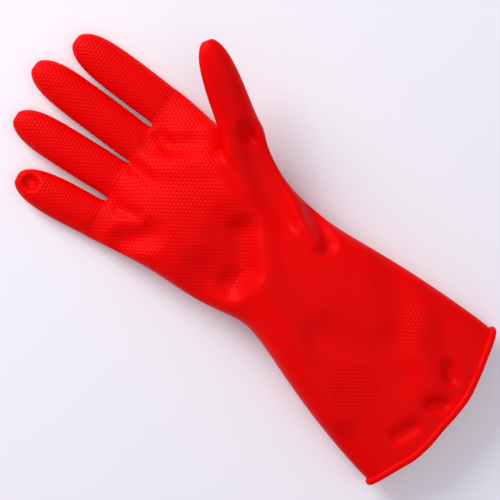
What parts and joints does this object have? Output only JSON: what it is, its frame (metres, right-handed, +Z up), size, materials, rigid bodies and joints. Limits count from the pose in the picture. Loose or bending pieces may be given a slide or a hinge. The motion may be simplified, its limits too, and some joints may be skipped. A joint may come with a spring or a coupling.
{
  "type": "household rubber glove",
  "caption": "Household rubber glove for the right hand, lying palm up, with a long cuff, a rolled bead and creases that let its fingers, thumb and wrist bend.",
  "frame": {"origin": "on the table, under the middle of the glove's bounding box", "axes": "+Y from the cuff to the fingertips, +X across the palm to the thumb side, +Z up out of the palm"},
  "size_m": [0.1484, 0.3352, 0.0517],
  "materials": {
    "latex": "satin",
    "flock": "matte"
  },
  "bodies": {
    "hand": {"palm_film": "latex", "palm_lining": "flock", "thumb_mound_film": "latex", "thumb_mound_lining": "flock"},
    "cuff": {"cuff_film": "latex", "cuff_lining": "flock", "rolled_bead": "latex"},
    "index_base": {"index_base_film": "latex", "index_base_lining": "flock"},
    "index_middle": {"index_middle_film": "latex", "index_middle_lining": "flock"},
    "index_tip": {"index_tip_film": "latex", "index_tip_lining": "flock"},
    "middle_base": {"middle_base_film": "latex", "middle_base_lining": "flock"},
    "middle_middle": {"middle_middle_film": "latex", "middle_middle_lining": "flock"},
    "middle_tip": {"middle_tip_film": "latex", "middle_tip_lining": "flock"},
    "ring_base": {"ring_base_film": "latex", "ring_base_lining": "flock"},
    "ring_middle": {"ring_middle_film": "latex", "ring_middle_lining": "flock"},
    "ring_tip": {"ring_tip_film": "latex", "ring_tip_lining": "flock"},
    "little_base": {"little_base_film": "latex", "little_base_lining": "flock"},
    "little_middle": {"little_middle_film": "latex", "little_middle_lining": "flock"},
    "little_tip": {"little_tip_film": "latex", "little_tip_lining": "flock"},
    "thumb_base": {"thumb_base_film": "latex", "thumb_base_lining": "flock"},
    "thumb_tip": {"thumb_tip_film": "latex", "thumb_tip_lining": "flock"}
  },
  "joints": [
    {"name": "wrist_fold", "type": "hinge", "parent": "hand", "child": "cuff", "pos_m": [0.0012, -0.03473, 0.025], "axis": [-0.9994, -0.0349, 0], "range_deg": [0, 45], "stiffness_Nm_per_rad": 0.3},
    {"name": "index_root", "type": "hinge", "parent": "hand", "child": "index_base", "pos_m": [0.02635, 0.09166, 0.01], "axis": [0.9963, 0.0854, 0], "range_deg": [0, 70], "stiffness_Nm_per_rad": 0.04},
    {"name": "index_bend", "type": "hinge", "parent": "index_base", "child": "index_middle", "pos_m": [0.02377, 0.12185, 0.01], "axis": [0.9963, 0.0854, 0], "range_deg": [0, 75], "stiffness_Nm_per_rad": 0.03},
    {"name": "index_tip_bend", "type": "hinge", "parent": "index_middle", "child": "index_tip", "pos_m": [0.0221, 0.14128, 0.01], "axis": [0.9963, 0.0854, 0], "range_deg": [0, 48], "stiffness_Nm_per_rad": 0.02},
    {"name": "middle_root", "type": "hinge", "parent": "hand", "child": "middle_base", "pos_m": [-0.00095, 0.08636, 0.01], "axis": [0.9959, 0.0906, 0], "range_deg": [0, 70], "stiffness_Nm_per_rad": 0.04},
    {"name": "middle_bend", "type": "hinge", "parent": "middle_base", "child": "middle_middle", "pos_m": [-0.00424, 0.12251, 0.01], "axis": [0.9959, 0.0906, 0], "range_deg": [0, 75], "stiffness_Nm_per_rad": 0.03},
    {"name": "middle_tip_bend", "type": "hinge", "parent": "middle_middle", "child": "middle_tip", "pos_m": [-0.00633, 0.14542, 0.01], "axis": [0.9959, 0.0906, 0], "range_deg": [0, 48], "stiffness_Nm_per_rad": 0.02},
    {"name": "ring_root", "type": "hinge", "parent": "hand", "child": "ring_base", "pos_m": [-0.02629, 0.08114, 0.01], "axis": [0.9848, 0.1736, 0], "range_deg": [0, 70], "stiffness_Nm_per_rad": 0.04},
    {"name": "ring_bend", "type": "hinge", "parent": "ring_base", "child": "ring_middle", "pos_m": [-0.03216, 0.11443, 0.01], "axis": [0.9848, 0.1736, 0], "range_deg": [0, 75], "stiffness_Nm_per_rad": 0.03},
    {"name": "ring_tip_bend", "type": "hinge", "parent": "ring_middle", "child": "ring_tip", "pos_m": [-0.03581, 0.13511, 0.01], "axis": [0.9848, 0.1736, 0], "range_deg": [0, 48], "stiffness_Nm_per_rad": 0.02},
    {"name": "little_root", "type": "hinge", "parent": "hand", "child": "little_base", "pos_m": [-0.05301, 0.07592, 0.01], "axis": [0.9703, 0.2419, 0], "range_deg": [0, 70], "stiffness_Nm_per_rad": 0.04},
    {"name": "little_bend", "type": "hinge", "parent": "little_base", "child": "little_middle", "pos_m": [-0.05889, 0.0995, 0.01], "axis": [0.9703, 0.2419, 0], "range_deg": [0, 75], "stiffness_Nm_per_rad": 0.03},
    {"name": "little_tip_bend", "type": "hinge", "parent": "little_middle", "child": "little_tip", "pos_m": [-0.06264, 0.11454, 0.01], "axis": [0.9703, 0.2419, 0], "range_deg": [0, 48], "stiffness_Nm_per_rad": 0.02},
    {"name": "thumb_root", "type": "hinge", "parent": "hand", "child": "thumb_base", "pos_m": [0.04614, 0.04888, 0.03484], "axis": [0.7994, -0.5259, 0.2904], "range_deg": [0, 35], "stiffness_Nm_per_rad": 0.06},
    {"name": "thumb_bend", "type": "hinge", "parent": "thumb_base", "child": "thumb_tip", "pos_m": [0.05638, 0.06898, 0.04305], "axis": [0.7994, -0.5259, 0.2904], "range_deg": [0, 35], "stiffness_Nm_per_rad": 0.04}
  ],
  "couplings": [
    {"joint": "index_tip_bend", "follows": "index_bend", "ratio": 0.64},
    {"joint": "middle_tip_bend", "follows": "middle_bend", "ratio": 0.64},
    {"joint": "ring_tip_bend", "follows": "ring_bend", "ratio": 0.64},
    {"joint": "little_tip_bend", "follows": "little_bend", "ratio": 0.64}
  ]
}
